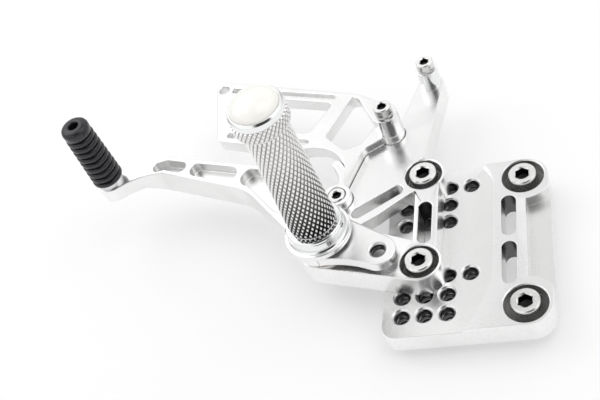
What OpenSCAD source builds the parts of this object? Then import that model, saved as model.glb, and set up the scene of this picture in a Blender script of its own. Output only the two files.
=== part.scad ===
// Rear sets footrest for the left side of a motorcycle.
// A drilled adapter plate bolts to the frame, the bracket bolts to the plate,
// and the shift lever turns on the bolt that also holds the knurled footpeg.
// Frame: origin midway between the two frame bolts in the mounting plane,
// +Z outward along the footpeg, +X to the rear, +Y up.

/* [Frame bolts] */
// Distance between the two frame bolts
frame_bolt_pitch = 70; // [60:1:80]
// Length of a frame bolt under its head
frame_bolt_length = 12; // [12:1:16]
// Diameter of the counterbore round a frame bolt head
frame_counterbore_d = 18.8; // [17:0.1:19.5]
// Height of the seat under a frame bolt head
frame_bolt_seat_z = 6; // [4:0.5:7]

/* [Adapter plate] */
// Thickness of the drilled zone of the plate
plate_t = 10; // [8:0.5:12]
// Step up from the drilled zone to the frame bolt zone
plate_step = 2; // [1:0.25:3]
// Distance from the frame bolts to the rear edge
plate_rear = 11.5; // [11:0.5:14]
// Distance from the frame bolts to the front edge
plate_front = 62.5; // [60:0.5:68]
// Margin below the lower frame bolt
plate_foot = 10.7; // [10:0.1:14]
// Margin above the upper frame bolt
plate_head = 10.2; // [10:0.1:12]
// Pitch of the adjustment holes both ways
hole_pitch = 10; // [9:0.5:11]
// Distance from the frame bolts to the nearest hole column
column_offset = 24; // [22:0.5:27]
// Tap drill diameter of the adjustment holes
tapped_d = 6.8; // [6.5:0.1:7.2]
// Width of the two long slots
plate_slot_w = 6.6; // [5:0.1:7.5]
// Overall length of each long slot
plate_slot_l = 22.5; // [16:0.5:23]
// Distance from the frame bolts to the slots
plate_slot_offset = 6.6; // [6:0.1:8]
// Depth of the relief scooped from the rear edge
relief_depth = 5.5; // [3:0.25:7]

/* [Bracket] */
// Thickness of the bracket at its bosses
bracket_t = 12; // [11:0.5:14]
// Thickness of the slotted arm
arm_t = 7; // [5:0.5:8]
// Radius of the bosses round the bracket bolts
boss_r = 10; // [9.6:0.1:11]
// Diameter of the counterbore round a bracket bolt head
bracket_counterbore_d = 17.2; // [15:0.1:18]
// Height of a bracket bolt head above the bracket face
head_proud = 1.6; // [0.5:0.1:2]
// Width of the web between the bracket bolts
web_w = 11; // [10:0.5:13]
// Width of the slot through the web
web_slot_w = 6; // [4:0.25:6.5]
// Width of the slot through the upper arm
arm_slot_w = 5.5; // [4:0.25:6]
// Radius of the bracket round the pivot
pivot_boss_r = 13.2; // [12.6:0.1:14]

/* [Support plate] */
// Thickness of the windowed support plate
support_t = 7; // [5:0.5:8]
// Depth that the support plate is let into the bracket
support_inset = 2.5; // [1.5:0.25:3]
// Clearance round the support plate in its seat
seat_gap = 0.2; // [0.1:0.05:0.3]
// Radius of the round clearance cut beside the footpeg
cutaway_r = 20; // [18:0.5:21]
// Width of the shallow grooves along the two bars
groove_w = 3; // [2:0.25:4]
// Depth of the shallow grooves
groove_depth = 3; // [1:0.25:4]

/* [Guard posts] */
// Outer diameter of the lower guard spacer
lower_spacer_d = 12.6; // [11:0.1:13]
// Height of the lower guard spacer
lower_spacer_h = 11; // [8:0.5:14]
// Outer diameter of the upper guard spacer
upper_spacer_d = 10.6; // [10:0.1:12]
// Height of the upper guard spacer
upper_spacer_h = 10.6; // [8:0.1:14]
// Length of the lower guard screw under its head
lower_screw_l = 25; // [22:1:26]
// Length of the upper guard screw under its head
upper_screw_l = 30; // [25:1:32]

/* [Pivot] */
// Distance from the frame bolts to the pivot
pivot_setback = 88.5; // [87:0.5:92]
// Diameter of the pivot bolt shank
pivot_bolt_d = 10; // [9:0.5:11]
// Outer diameter of the pivot sleeve
sleeve_d = 16; // [15:0.5:17]
// Running clearance between sleeve and bush on the radius
running_gap = 0.05; // [0.02:0.01:0.08]
// End float of the lever at each face
end_float = 0.05; // [0.04:0.01:0.1]
// Wall of a bush
bush_wall = 2; // [1.5:0.25:2.5]
// Thickness of a bush flange
bush_flange_t = 1; // [0.8:0.1:1.5]
// Outer diameter of a bush flange
bush_flange_d = 23; // [21.5:0.5:24]

/* [Lever] */
// Thickness of the lever hub
lever_hub_t = 6.5; // [6:0.25:8]
// Radius of the lever hub
lever_hub_r = 13.8; // [13.4:0.1:15]
// Thickness of the long arm
lever_arm_t = 14.2; // [12:0.2:15]
// Thickness of the long arm under the toe piece
toe_section_t = 8.4; // [7.6:0.2:10]
// Distance of the arms' top face below the hub's top face
lever_face_drop = 0.55; // [0.3:0.05:1]
// Thickness of the short linkage arm
link_arm_t = 4.7; // [4:0.1:5]
// Distance from the pivot to the linkage hole
link_reach = 29.9; // [28:0.1:32]
// Angle of the linkage arm below the front to rear line
link_angle = 23; // [20:1:26]
// Depth of the pockets milled in the long arm
pocket_depth = 5.2; // [3:0.2:7]
// Width of the rim left round a pocket
pocket_rim = 2.4; // [1.8:0.1:3]

/* [Toe piece] */
// Outer diameter of the ribbed rubber at its foot
toe_rubber_d = 16.4; // [15:0.2:18]
// Outer diameter of the ribbed rubber at its tip
toe_tip_d = 14.4; // [13:0.2:15]
// Length of the ribbed rubber
toe_rubber_l = 39.5; // [30:0.5:42]
// Number of ribs on the rubber
toe_ribs = 9; // [7:1:10]
// Diameter of the pin inside the rubber
toe_pin_d = 8; // [7:0.5:9]
// Height of the bare shoulder under the rubber
toe_shoulder_h = 3; // [2:0.25:4]

/* [Footpeg] */
// Radius of the collar's flange on the lever side
collar_flange_r = 15.5; // [14:0.25:16.5]
// Thickness of the collar's flange
collar_flange_t = 2.5; // [2:0.25:3.5]
// Radius of the collar's neck
collar_neck_r = 13; // [12:0.25:13.5]
// Overall height of the collar
collar_h = 7.4; // [6:0.2:9]
// Length of the knurled barrel between its base ring and its end flange
barrel_l = 64; // [55:1:75]
// Radius of the barrel at its base
barrel_base_r = 11.3; // [10.5:0.1:12]
// Radius of the barrel at its outer end
barrel_tip_r = 10; // [9.5:0.1:11]
// Radius of the knurled end flange
flange_r = 12.6; // [12:0.1:14]
// Width of the knurled band of the end flange
flange_l = 7; // [5:0.5:9]
// Width of the polished rim beyond the end flange
rim_l = 3.5; // [2.5:0.25:5]
// Radius of the domed end cap
cap_r = 10.6; // [9.5:0.1:11]
// Height of the dome above the rim
dome_h = 5; // [3.5:0.25:6.5]

/* [Hidden] */
$fn = 64;
// Overshoot that lets a cut pass clean through a face
eps = 1;
// Radial play of a screw in a plain hole and of a thread core in a tapped hole
screw_play = 0.2;
core_play = 0.05;
// Thread core as a share of the nominal diameter
core_share = 0.84;
// Play of a pressed piece in its bore
press_play = 0.02;

// Socket head cap screws: nominal diameter, head diameter, head height, key width
M5 = [5, 8.5, 5, 4];
M8 = [8, 13, 8, 6];
M10 = [pivot_bolt_d, pivot_bolt_d * 1.6, pivot_bolt_d, 8];

// Heights
plate_top = plate_t;
frame_zone_top = plate_t + plate_step;
bracket_top = plate_top + bracket_t;
bracket_bolt_seat = bracket_top + head_proud - M8[2];
support_bottom = bracket_top - support_inset;
support_top = support_bottom + support_t;
pivot_floor = bracket_top;
lever_hub_bottom = pivot_floor + end_float + bush_flange_t;
lever_hub_top = lever_hub_bottom + lever_hub_t;
collar_bottom = lever_hub_top + bush_flange_t + end_float;
lever_face = lever_hub_top - lever_face_drop;
pivot_seat = plate_top + 4;
barrel_base = collar_bottom + collar_h;
base_ring_t = 1.8;
flange_base = barrel_base + base_ring_t + barrel_l;
rim_base = flange_base + flange_l;
barrel_top = rim_base + rim_l;

// Places in plan
frame_bolts_at = [[0, -frame_bolt_pitch / 2], [0, frame_bolt_pitch / 2]];
row_0 = -frame_bolt_pitch / 2;
function column(c) = -column_offset - (3 - c) * hole_pitch;
function row(r) = row_0 + r * hole_pitch;
lower_bolt = [column(1), row(2)];
upper_bolt = [column(1), row(7)];
pivot = [-pivot_setback, 0];
seat_screw = pivot + [4.5, 25.6];
guard_low = upper_bolt + [-16.3, 28.2];
guard_high = upper_bolt + [1.8, 59.5];
cutaway = pivot + [-12.5, 38];
link_hole = pivot + link_reach * [cos(link_angle), -sin(link_angle)];
elbow = pivot + [-37.5, 41.2];
arm_bend = pivot + [-89.5, 58.9];
toe = pivot + [-119.3, 52.8];

// Radii that several pieces share
guard_low_r = lower_spacer_d / 2 + 0.1;
guard_high_r = upper_spacer_d / 2 + 1.2;
seat_boss_r = 6.8;
lever_bore_r = sleeve_d / 2 + running_gap + bush_wall;

// Plane geometry

function unit(v) = v / norm(v);
function wrap(a) = a - 360 * floor((a + 180) / 360);
function polar(r, a) = r * [cos(a), sin(a)];

// Corners of the strip between the outer tangents of two circles, through their centres
function tangent_strip(p, rp, q, rq) =
    let (d = q - p, a = atan2(d[1], d[0]), b = acos((rp - rq) / norm(d)))
    [
        p, p + polar(rp, a - b), q + polar(rq, a - b),
        q, q + polar(rq, a + b), p + polar(rp, a + b)
    ];

// Arc of radius r that rounds the corner b between its neighbours a and c
function corner(a, b, c, r, steps = 6) =
    let (
        u = unit(a - b),
        v = unit(c - b),
        half = acos(u * v) / 2,
        centre = b + unit(u + v) * r / sin(half),
        s = b + u * r / tan(half) - centre,
        e = b + v * r / tan(half) - centre,
        start = atan2(s[1], s[0]),
        sweep = wrap(atan2(e[1], e[0]) - start)
    )
    [for (i = [0 : steps]) centre + polar(r, start + sweep * i / steps)];

// Outline from corners [x, y, radius], each rounded by its own radius
function rounded(pts) =
    let (n = len(pts), xy = [for (p = pts) [p[0], p[1]]])
    [for (i = [0 : n - 1]) each pts[i][2] > 0
        ? corner(xy[(i + n - 1) % n], xy[i], xy[(i + 1) % n], pts[i][2])
        : [xy[i]]];

// The same corners pushed outward by g, for corners listed counter-clockwise
function grown(pts, g) =
    let (n = len(pts), xy = [for (p = pts) [p[0], p[1]]])
    [for (i = [0 : n - 1])
        let (
            d1 = unit(xy[i] - xy[(i + n - 1) % n]),
            d2 = unit(xy[(i + 1) % n] - xy[i]),
            n1 = [d1[1], -d1[0]],
            n2 = [d2[1], -d2[0]],
            q = xy[i] + g * (n1 + n2) / (1 + n1 * n2)
        )
        [q[0], q[1], pts[i][2]]];

module link_2d(p, rp, q, rq) {
    translate(p) circle(r = rp);
    translate(q) circle(r = rq);
    polygon(tangent_strip(p, rp, q, rq));
}

// Points of the concave arc of radius r that joins two circles, on the left (1) or right (-1)
function waist_arc(p, rp, q, rq, r, side, steps = 8) =
    let (
        d = q - p,
        a = atan2(d[1], d[0]),
        b = acos(((rp + r) ^ 2 + d * d - (rq + r) ^ 2) / (2 * norm(d) * (rp + r))),
        centre = p + polar(rp + r, a + side * b),
        s = p - centre,
        e = q - centre,
        start = atan2(s[1], s[0]),
        sweep = wrap(atan2(e[1], e[0]) - start)
    )
    [for (i = [0 : steps]) centre + polar(r, start + sweep * i / steps)];

module slot_2d(p, q, w) {
    link_2d(p, w / 2, q, w / 2);
}

module block(z0, z1) {
    translate([0, 0, z0]) linear_extrude(z1 - z0) children();
}

module post(p, r, z0, z1) {
    translate([p[0], p[1], z0]) cylinder(r = r, h = z1 - z0);
}

// Hole edge broken by a small cone, opening upward at height z
module edge_break(p, r, z, size = 0.8) {
    translate([p[0], p[1], z - size]) cylinder(r1 = r, r2 = r + size * 1.2, h = size * 1.2);
}

// Socket head cap screw on its seat: plain shank down to thread_z, core below it
module cap_screw(p, kind, seat_z, length, thread_z, thread_r) {
    r = kind[0] / 2;
    head_r = kind[1] / 2;
    tip_z = seat_z - length;
    bevel = 0.6;
    difference() {
        union() {
            post(p, head_r, seat_z, seat_z + kind[2] - bevel);
            translate([p[0], p[1], seat_z + kind[2] - bevel])
                cylinder(r1 = head_r, r2 = head_r - bevel, h = bevel);
            post(p, r, thread_z, seat_z);
            post(p, thread_r, tip_z + bevel, thread_z);
            translate([p[0], p[1], tip_z]) cylinder(r1 = thread_r - bevel, r2 = thread_r, h = bevel);
        }
        translate([p[0], p[1], seat_z + kind[2] * 0.45])
            cylinder(d = kind[3] / cos(30), h = kind[2], $fn = 6);
    }
}

function core_r(kind) = kind[0] * core_share / 2;
function tapped_r(kind) = core_r(kind) + core_play;
// Thread core of the M8 screws, which fits the tapped adjustment holes
m8_core_r = tapped_d / 2 - core_play;

// Adapter plate

// Adjustment holes as [column, row] pairs
adjust_holes = concat(
    [for (c = [0 : 2], r = [0, 1, 2, 5, 6, 7]) [c, r]],
    [[3, 2], [3, 7]]
);
plate_lower_y = -frame_bolt_pitch / 2 - plate_foot;
plate_upper_y = frame_bolt_pitch / 2 + plate_head;
// The step down to the drilled zone: its place, its two curves and where they end
step_x = -plate_slot_offset - plate_slot_w / 2 - 3.5;
step_low_r = 60;
step_high_r = 20;
step_low_y = -frame_bolt_pitch / 2 + 27;
step_high_y = frame_bolt_pitch / 2 - 3;
// Round wall left about each frame bolt head where the relief begins
relief_wall = 4.2;
relief_x = 1;
// Land between the two long slots
slot_land = 3.5;
plate_front_corner_r = 6;
plate_rear_corner_r = 10.5;

module plate_outline_2d() {
    polygon(rounded([
        [-plate_front, plate_lower_y, plate_front_corner_r],
        [plate_rear, plate_lower_y, plate_rear_corner_r],
        [plate_rear, plate_upper_y, plate_rear_corner_r],
        [-plate_front, plate_upper_y, plate_front_corner_r]
    ]));
}

// Drilled zone, lower than the rest, with a long and a short curve at its rear edge
module drilled_zone_2d() {
    front = -plate_front - eps;
    translate([front, step_low_y]) square([step_x - front, step_high_y - step_low_y]);
    intersection() {
        translate([step_x - step_low_r, step_low_y]) circle(r = step_low_r, $fn = 128);
        translate([front, plate_lower_y - eps])
            square([step_x - front, step_low_y - plate_lower_y + eps]);
    }
    translate([step_x - step_high_r, step_high_y]) circle(r = step_high_r);
    translate([front, step_high_y])
        square([step_x - step_high_r - front, plate_upper_y + eps - step_high_y]);
}

// Scoop from the rear edge, bounded by a round wall about each frame bolt
module rear_relief_2d() {
    difference() {
        translate([relief_x, -frame_bolt_pitch / 2])
            square([plate_rear - relief_x + eps, frame_bolt_pitch]);
        for (p = frame_bolts_at)
            translate(p) circle(r = frame_counterbore_d / 2 + relief_wall);
    }
}

module adapter_plate() {
    color("#d3d3d1")
    difference() {
        block(0, frame_zone_top) plate_outline_2d();
        block(plate_top, frame_zone_top + eps) drilled_zone_2d();
        block(frame_zone_top - relief_depth, frame_zone_top + eps) rear_relief_2d();
        for (h = adjust_holes) {
            p = [column(h[0]), row(h[1])];
            post(p, tapped_d / 2, -eps, plate_top + eps);
            edge_break(p, tapped_d / 2, plate_top);
        }
        for (p = frame_bolts_at) {
            post(p, M8[0] / 2 + screw_play, -eps, frame_bolt_seat_z + eps);
            post(p, frame_counterbore_d / 2, frame_bolt_seat_z, frame_zone_top + eps);
            edge_break(p, frame_counterbore_d / 2, frame_zone_top, 0.5);
        }
        for (s = [-1, 1]) {
            mid = s * (plate_slot_l + slot_land) / 2;
            half = (plate_slot_l - plate_slot_w) / 2;
            block(-eps, frame_zone_top + eps)
                slot_2d([-plate_slot_offset, mid - half], [-plate_slot_offset, mid + half], plate_slot_w);
        }
    }
}

module frame_bolts() {
    color("#b9bab9")
    for (p = frame_bolts_at)
        cap_screw(p, M8, frame_bolt_seat_z, frame_bolt_length, 0, m8_core_r);
}

// Bracket

// Gap between a bracket bolt's tip and the mounting plane
bolt_tip_gap = 0.6;
web_x = lower_bolt[0] + 2 - web_w / 2;
web_slot_x = web_x + web_w / 2 - 0.3;
arm_slot_from = pivot + [14, 16.6];
arm_slot_to = pivot + [32.4, 27.5];

// Ledge of the bracket that carries the support plate round its clearance cut
cutaway_ledge = 4.5;

// Broad blade from the upper bolt to both guard ears and down to the pivot
module blade_2d() {
    polygon([
        upper_bolt + [0, boss_r],
        guard_high + [guard_high_r - 0.4, -2],
        guard_high + [-guard_high_r + 0.2, 1.6],
        guard_low + [3.2, 4.8],
        guard_low,
        guard_low + [-7, -7],
        cutaway + [28, 13.4],
        cutaway + [11, 13.4],
        seat_screw + [-seat_boss_r, 0],
        pivot + [3.6, 12],
        pivot,
        pivot + [23.3, 13.4],
        upper_bolt + [-6, -10.6],
        upper_bolt + [4, -8]
    ]);
}

module bracket_outline_2d() {
    link_2d(pivot, pivot_boss_r, lower_bolt, boss_r);
    translate(upper_bolt) circle(r = boss_r);
    translate([web_x, lower_bolt[1]]) square([web_w, upper_bolt[1] - lower_bolt[1]]);
    difference() {
        blade_2d();
        translate(cutaway) circle(r = cutaway_r - cutaway_ledge);
    }
    translate(guard_low) circle(r = guard_low_r);
    translate(guard_high) circle(r = guard_high_r);
    translate(seat_screw) circle(r = seat_boss_r + seat_gap);
}

// Underside clearance that leaves the slotted arm thinner than the bosses
module arm_underside_2d() {
    difference() {
        polygon([
            pivot + [17, 8],
            upper_bolt + [-6, -14],
            upper_bolt + [-8, -2],
            upper_bolt + [-14, 4],
            pivot + [14, 26],
            pivot + [8, 12]
        ]);
        translate(pivot) circle(r = pivot_boss_r + 1);
        translate(upper_bolt) circle(r = boss_r);
    }
}

module main_bracket() {
    color("#d6d6d4")
    difference() {
        block(plate_top, bracket_top) bracket_outline_2d();
        block(plate_top - eps, bracket_top - arm_t) arm_underside_2d();
        block(support_bottom, bracket_top + eps) support_outline_2d(seat_gap);
        block(plate_top - eps, bracket_top + eps) slot_2d(arm_slot_from, arm_slot_to, arm_slot_w);
        block(plate_top - eps, bracket_top + eps)
            slot_2d(
                [web_slot_x, lower_bolt[1] + boss_r + web_slot_w / 2],
                [web_slot_x, upper_bolt[1] - 2 * boss_r],
                web_slot_w
            );
        for (p = [lower_bolt, upper_bolt]) {
            post(p, M8[0] / 2 + screw_play, plate_top - eps, bracket_top);
            post(p, bracket_counterbore_d / 2, bracket_bolt_seat, bracket_top + eps);
            edge_break(p, bracket_counterbore_d / 2, bracket_top, 0.4);
        }
        for (p = [guard_low, guard_high, seat_screw])
            post(p, tapped_r(M5), plate_top - eps, bracket_top + eps);
        post(pivot, M10[0] / 2 + screw_play, plate_top - eps, bracket_top);
        post(pivot, M10[1] / 2 + 2 * screw_play, plate_top - eps, pivot_seat);
    }
}

module bracket_bolts() {
    color("#b9bab9")
    for (p = [lower_bolt, upper_bolt])
        cap_screw(p, M8, bracket_bolt_seat, bracket_bolt_seat - bolt_tip_gap, plate_top, m8_core_r);
}

// Support plate

// Corners of the outline as [x, y, radius], counter-clockwise
support_corners = [
    [-152.8, 73, 4],
    [-106, 57.6, 0],
    [cutaway[0], cutaway[1] + cutaway_r - 4, 0],
    [cutaway[0], cutaway[1], 0],
    [seat_screw[0] - 2, seat_screw[1] - 4, 0],
    [seat_screw[0] + 1.5, seat_screw[1] - 1, 0],
    [seat_screw[0] + 11, seat_screw[1] + 26.7, 6],
    [guard_low[0] - 4, guard_low[1] - guard_low_r + 0.4, 0],
    [guard_low[0], guard_low[1], 0],
    [guard_low[0] + 4.5, guard_low[1] + 4.5, 0],
    [-69, 84.5, 9],
    [-79, 91.2, 8],
    [-160.5, 118.3, 5]
];

// Corners of the two windows
long_window = [
    [-146, 80.2, 4],
    [-102, 68.4, 4],
    [-91.6, 87.4, 2.5],
    [-146, 104, 4]
];
short_window = [
    [-93.4, 64.6, 2.5],
    [-82.6, 53.6, 3],
    [-74.4, 56, 4],
    [-67.6, 66.8, 5],
    [-78.4, 88, 3],
    [-82, 88.6, 2]
];

module support_outline_2d(g = 0) {
    difference() {
        union() {
            polygon(rounded(grown(support_corners, g)));
            translate(guard_low) circle(r = guard_low_r + g);
        }
        translate(cutaway) circle(r = cutaway_r - g);
    }
    translate(seat_screw) circle(r = seat_boss_r + g);
}

module support_plate() {
    hang_hole = [-154.9, 110.5];
    color("#dcdcdb")
    difference() {
        block(support_bottom, support_top) support_outline_2d();
        for (w = [long_window, short_window])
            block(support_bottom - eps, support_top + eps) polygon(rounded(w));
        block(support_top - groove_depth, support_top + eps) {
            slot_2d([-148.4, 108.6], [-92, 91.4], groove_w);
            slot_2d([-146, 75.6], [-103.4, 62.8], groove_w);
        }
        post(hang_hole, M5[0] / 2 + screw_play, support_bottom - eps, support_top + eps);
        post(guard_low, M5[0] / 2 + screw_play, support_bottom - eps, support_top + eps);
        post(seat_screw, M5[0] / 2 + screw_play, support_bottom - eps, support_top + eps);
        post(seat_screw, M5[1] / 2 + 0.3, support_top - M5[2], support_top + eps);
    }
}

module support_plate_screw() {
    color("#b9bab9")
    cap_screw(seat_screw, M5, support_top - M5[2], 10, support_bottom, core_r(M5));
}

// Guard posts

module spacer(p, d, z0, h) {
    bevel = 0.5;
    difference() {
        union() {
            post(p, d / 2, z0, z0 + h - bevel);
            translate([p[0], p[1], z0 + h - bevel]) cylinder(r1 = d / 2, r2 = d / 2 - bevel, h = bevel);
        }
        post(p, M5[0] / 2 + screw_play, z0 - eps, z0 + h + eps);
    }
}

module lower_guard_spacer() {
    color("#c9cac9") spacer(guard_low, lower_spacer_d, support_top, lower_spacer_h);
}

module lower_guard_screw() {
    color("#b9bab9")
    cap_screw(guard_low, M5, support_top + lower_spacer_h, lower_screw_l, support_bottom, core_r(M5));
}

module upper_guard_spacer() {
    color("#c9cac9") spacer(guard_high, upper_spacer_d, bracket_top, upper_spacer_h);
}

module upper_guard_screw() {
    color("#b9bab9")
    cap_screw(guard_high, M5, bracket_top + upper_spacer_h, upper_screw_l, bracket_top, core_r(M5));
}

// Pivot

washer_t = 1;

module pivot_bolt() {
    seat = pivot_seat - washer_t;
    reach = barrel_base + 22;
    color("#a9aaab")
    translate([pivot[0], pivot[1], 0])
    rotate([180, 0, 0])
        cap_screw([0, 0], M10, -seat, reach - seat, -barrel_base, core_r(M10));
}

module pivot_bolt_washer() {
    color("#b9bab9")
    difference() {
        post(pivot, M10[1] / 2, pivot_seat - washer_t, pivot_seat);
        post(pivot, M10[0] / 2 + screw_play, pivot_seat - washer_t - eps, pivot_seat + eps);
    }
}

module pivot_sleeve() {
    color("#9fa1a3")
    difference() {
        post(pivot, sleeve_d / 2, pivot_floor, collar_bottom);
        post(pivot, M10[0] / 2 + screw_play / 2, pivot_floor - eps, collar_bottom + eps);
    }
}

// Flanged bush: its flange lies from flange_z outward in direction dir, its body the other way
module bush(flange_z, dir) {
    body_l = lever_hub_t / 2 - 0.5;
    flange_0 = min(flange_z, flange_z + dir * bush_flange_t);
    body_0 = min(flange_z, flange_z - dir * body_l);
    difference() {
        union() {
            post(pivot, bush_flange_d / 2, flange_0, flange_0 + bush_flange_t);
            post(pivot, lever_bore_r - press_play, body_0, body_0 + body_l);
        }
        post(pivot, sleeve_d / 2 + running_gap, flange_0 - lever_hub_t, flange_0 + lever_hub_t);
    }
}

module inner_bush() {
    color("#b08d57") bush(lever_hub_bottom, -1);
}

module outer_bush() {
    color("#b08d57") bush(lever_hub_top, 1);
}

// Lever

lever_arm_bottom = lever_face - lever_arm_t;
toe_bottom = lever_face - toe_section_t;
hub_plate_bottom = lever_face - link_arm_t;
hub_neck_r = bush_flange_d / 2 + 0.2;
arm_root_r = 9;
elbow_r = 7.8;
bend_r = 5.4;
toe_r = 7;
link_end_r = 8.2;
// Radii of the hollow edge of the linkage arm and of both edges beside the toe piece
link_waist_r = 50;
toe_waist_r = 40;
// Radius of the long hollow curve at the elbow
elbow_fillet_r = 24;
// Start of the ramp up to the toe piece, past the centre of the bend, and its length
toe_ramp_from = bend_r / 2;
toe_ramp_l = 12;

// Point a share t of the way from p to q
function between(p, q, t) = p + (q - p) * t;

// Direction from the centre of q to the left edge of the strip that comes from p
function left_edge(p, rp, q, rq) =
    atan2(q[1] - p[1], q[0] - p[0]) + acos((rp - rq) / norm(q - p));

// Long hollow curve that joins the two strips on the left of the elbow
module elbow_fillet_2d(steps = 8) {
    a = wrap(left_edge(pivot, arm_root_r, elbow, elbow_r));
    b = wrap(left_edge(elbow, elbow_r, arm_bend, bend_r));
    centre = elbow + polar((elbow_fillet_r + elbow_r) / cos((b - a) / 2), (a + b) / 2);
    polygon(concat(
        [elbow],
        [for (i = [0 : steps]) centre - polar(elbow_fillet_r, a + (b - a) * i / steps)]
    ));
}

module long_arm_2d() {
    link_2d(pivot, arm_root_r, elbow, elbow_r);
    link_2d(elbow, elbow_r, arm_bend, bend_r);
    elbow_fillet_2d();
    translate(toe) circle(r = toe_r);
    polygon(concat(
        [arm_bend],
        waist_arc(arm_bend, bend_r, toe, toe_r, toe_waist_r, -1),
        [toe],
        waist_arc(toe, toe_r, arm_bend, bend_r, toe_waist_r, -1)
    ));
}

// Linkage arm, straight on its upper edge and hollow on its lower one
module link_arm_2d() {
    drop = [0, 2 * lever_hub_r];
    translate(pivot) circle(r = lever_hub_r);
    translate(link_hole) circle(r = link_end_r);
    difference() {
        link_2d(pivot, lever_hub_r, link_hole, link_end_r);
        polygon(concat(
            waist_arc(pivot, lever_hub_r, link_hole, link_end_r, link_waist_r, -1),
            [link_hole, link_hole - drop, pivot - drop, pivot]
        ));
    }
}

// Pocket that keeps its rim between the shares t and u of a strip of the arm
module pocket_2d(p, rp, q, rq, t, u) {
    link_2d(
        between(p, q, t), rp + (rq - rp) * t - pocket_rim,
        between(p, q, u), rp + (rq - rp) * u - pocket_rim
    );
}

// Three pockets: over the bend, along the straight, and round the elbow
module arm_pockets_2d() {
    pocket_2d(arm_bend, bend_r, toe, bend_r, 0, 0.13);
    pocket_2d(arm_bend, bend_r, elbow, elbow_r, 0, 0.16);
    pocket_2d(arm_bend, bend_r, elbow, elbow_r, 0.36, 0.70);
    pocket_2d(arm_bend, bend_r, elbow, elbow_r, 0.95, 1);
    pocket_2d(elbow, elbow_r, pivot, arm_root_r, 0, 0.44);
}

// Clearance under the toe piece, ramped up from the full thickness at the bend
module toe_underside() {
    d = toe - arm_bend;
    far = norm(d) + 2 * toe_r;
    lead = eps * toe_ramp_l / (toe_bottom - lever_arm_bottom);
    translate([arm_bend[0], arm_bend[1], 0])
    rotate([0, 0, atan2(d[1], d[0])])
    rotate([90, 0, 0])
    linear_extrude(4 * toe_r, center = true)
        polygon([
            [toe_ramp_from - lead, lever_arm_bottom - eps],
            [toe_ramp_from + toe_ramp_l, toe_bottom],
            [far, toe_bottom],
            [far, lever_arm_bottom - eps]
        ]);
}

module lever_blank() {
    post(pivot, hub_neck_r, lever_hub_bottom, hub_plate_bottom);
    block(hub_plate_bottom, lever_face) link_arm_2d();
    translate([pivot[0], pivot[1], lever_face])
        cylinder(r1 = lever_hub_r, r2 = lever_hub_r - 1.5, h = lever_face_drop);
    difference() {
        block(lever_arm_bottom, lever_face) long_arm_2d();
        post(pivot, pivot_boss_r + 0.6, lever_arm_bottom - eps, lever_hub_bottom);
        toe_underside();
    }
}

module shift_lever() {
    color("#d9d9d8")
    difference() {
        lever_blank();
        post(pivot, lever_bore_r, lever_hub_bottom - eps, lever_hub_top + eps);
        post(link_hole, tapped_d / 2, hub_plate_bottom - eps, lever_face + eps);
        edge_break(link_hole, tapped_d / 2, lever_face);
        block(lever_face - pocket_depth, lever_face + eps) arm_pockets_2d();
        post(toe, M5[0] / 2 + screw_play, toe_bottom - eps, lever_face + eps);
        post(toe, M5[1] / 2 + screw_play, toe_bottom - eps, toe_screw_seat);
    }
}

// Toe piece

// An M5 screw holds the toe pin from below, with its head sunk in the lever
toe_screw_seat = toe_bottom + M5[2] + 0.3;
toe_rubber_base = lever_face + toe_shoulder_h;
toe_rubber_top = toe_rubber_base + toe_rubber_l;
toe_pin_top = toe_rubber_top - 4;
toe_screw_l = 18;

module toe_pin() {
    color("#c3c4c4")
    difference() {
        union() {
            post(toe, toe_r - 1, lever_face, toe_rubber_base);
            post(toe, toe_pin_d / 2, toe_rubber_base, toe_pin_top);
        }
        post(toe, tapped_r(M5), lever_face - eps, toe_screw_seat + toe_screw_l + 1);
    }
}

module toe_pin_screw() {
    color("#b9bab9")
    translate([toe[0], toe[1], 0])
    rotate([180, 0, 0])
        cap_screw([0, 0], M5, -toe_screw_seat, toe_screw_l, -lever_face, core_r(M5));
}

// Radius of the tapered rubber over its ribs at height y
function rubber_r(y) = (toe_rubber_d + (toe_tip_d - toe_rubber_d) * y / toe_rubber_l) / 2;

// Ribbed rubber: half round ribs on a tapered sleeve under a domed tip with a recess
module toe_rubber() {
    tip_h = 6;
    tip_r = 2.4;
    rib_h = 0.9;
    recess_r = 2.6;
    ribbed_l = toe_rubber_l - tip_h;
    pitch = ribbed_l / toe_ribs;
    recess_y = toe_pin_top - toe_rubber_base;
    color("#2b2b2d")
    translate([toe[0], toe[1], toe_rubber_base])
    rotate_extrude()
        polygon(concat(
            [[toe_pin_d / 2, 0], [rubber_r(0) - rib_h, 0]],
            [for (i = [0 : toe_ribs - 1], a = [-60 : 30 : 60])
                let (y = pitch * (i + 0.5 + a / 140))
                [rubber_r(y) - rib_h * sin(a) ^ 2, y]],
            [[rubber_r(ribbed_l) - rib_h, ribbed_l]],
            [for (a = [-10 : 20 : 90])
                [toe_tip_d / 2 - tip_r + tip_r * cos(a), toe_rubber_l - tip_r + tip_r * sin(a)]],
            [[recess_r, toe_rubber_l], [recess_r, recess_y], [toe_pin_d / 2, recess_y]]
        ));
}

// Footpeg

module peg_collar() {
    step = 0.5;
    color("#d2d3d4")
    translate([pivot[0], pivot[1], collar_bottom])
    rotate_extrude()
        polygon([
            [M10[0] / 2 + screw_play / 2, 0],
            [collar_flange_r - step, 0],
            [collar_flange_r, step],
            [collar_flange_r, collar_flange_t - step],
            [collar_flange_r - step, collar_flange_t],
            [collar_neck_r, collar_flange_t],
            [collar_neck_r, collar_h - step],
            [collar_neck_r - step, collar_h],
            [M10[0] / 2 + screw_play / 2, collar_h]
        ]);
}

tapped_depth = 26;
barrel_bore_r = 6.5;
barrel_bore_base = 40;

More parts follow.
